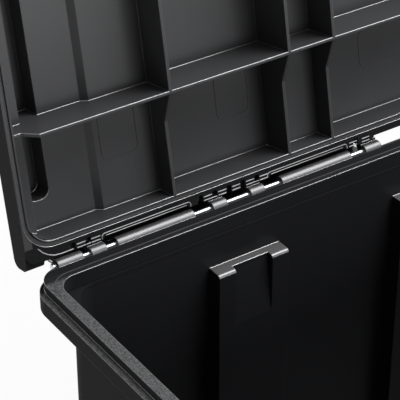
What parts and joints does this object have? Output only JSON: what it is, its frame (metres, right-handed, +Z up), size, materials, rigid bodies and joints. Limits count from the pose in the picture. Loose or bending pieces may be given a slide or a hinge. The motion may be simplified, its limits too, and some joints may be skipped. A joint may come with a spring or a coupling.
{
  "type": "stackable tool box",
  "caption": "Stackable tool box with a rod-hinged lid standing open, a lid seal, front latches, a folding top handle, side handles and stacking latches.",
  "frame": {"origin": "middle of the flat underside of the base, on the ground", "axes": "X along the hinge to the right as seen from the front, +Y from the front to the hinge side, +Z up"},
  "size_m": [0.5678, 0.4902, 0.6418],
  "materials": {
    "tub_plastic": "moulded structural foam plastic, fine grain",
    "lid_plastic": "moulded structural foam plastic, fine grain",
    "latch_plastic": "smooth moulded plastic",
    "seal_rubber": "soft foam rubber",
    "grip_rubber": "soft overmoulded grip",
    "steel": "bright drawn wire"
  },
  "bodies": {
    "tub": {"tub": "tub_plastic", "hinge_rod_left": "steel", "hinge_rod_right": "steel", "front_latch_pin_left": "steel", "front_latch_pin_right": "steel", "side_handle_pins_left": "steel", "side_handle_pins_right": "steel", "stack_latch_pin_left": "steel", "stack_latch_pin_right": "steel"},
    "lid": {"lid": "lid_plastic", "lid_seal": "seal_rubber", "latch_strike_left": "steel", "latch_strike_right": "steel", "carry_handle_pin_left": "steel", "carry_handle_pin_right": "steel"},
    "carry_handle": {"carry_handle": "latch_plastic", "carry_handle_grip": "grip_rubber"},
    "front_latch_left": {"front_latch_left": "latch_plastic"},
    "front_latch_right": {"front_latch_right": "latch_plastic"},
    "side_handle_left": {"side_handle_left": "latch_plastic"},
    "side_handle_right": {"side_handle_right": "latch_plastic"},
    "stack_latch_left": {"stack_latch_left": "latch_plastic"},
    "stack_latch_right": {"stack_latch_right": "latch_plastic"}
  },
  "joints": [
    {"name": "lid_hinge", "type": "hinge", "parent": "tub", "child": "lid", "pos_m": [0, 0.189, 0.2705], "axis": [1, 0, 0], "range_deg": [0, 101]},
    {"name": "front_latch_left_hinge", "type": "hinge", "parent": "tub", "child": "front_latch_left", "pos_m": [-0.15, -0.1939, 0.2435], "axis": [-1, 0, 0], "range_deg": [0, 180]},
    {"name": "front_latch_right_hinge", "type": "hinge", "parent": "tub", "child": "front_latch_right", "pos_m": [0.15, -0.1939, 0.2435], "axis": [-1, 0, 0], "range_deg": [0, 180]},
    {"name": "carry_handle_hinge", "type": "hinge", "parent": "lid", "child": "carry_handle", "pos_m": [0, 0.24745, 0.46797], "axis": [1, 0, 0], "range_deg": [-11, 79]},
    {"name": "side_handle_left_hinge", "type": "hinge", "parent": "tub", "child": "side_handle_left", "pos_m": [-0.278, 0, 0.2335], "axis": [0, 1, 0], "range_deg": [0, 90]},
    {"name": "side_handle_right_hinge", "type": "hinge", "parent": "tub", "child": "side_handle_right", "pos_m": [0.278, 0, 0.2335], "axis": [0, -1, 0], "range_deg": [0, 90]},
    {"name": "stack_latch_left_rocker", "type": "hinge", "parent": "tub", "child": "stack_latch_left", "pos_m": [-0.2799, 0, 0.034], "axis": [0, 1, 0], "range_deg": [0, 8], "stiffness_Nm_per_rad": 0.3, "springref_deg": -2.86},
    {"name": "stack_latch_right_rocker", "type": "hinge", "parent": "tub", "child": "stack_latch_right", "pos_m": [0.2799, 0, 0.034], "axis": [0, -1, 0], "range_deg": [0, 8], "stiffness_Nm_per_rad": 0.3, "springref_deg": -2.86}
  ]
}
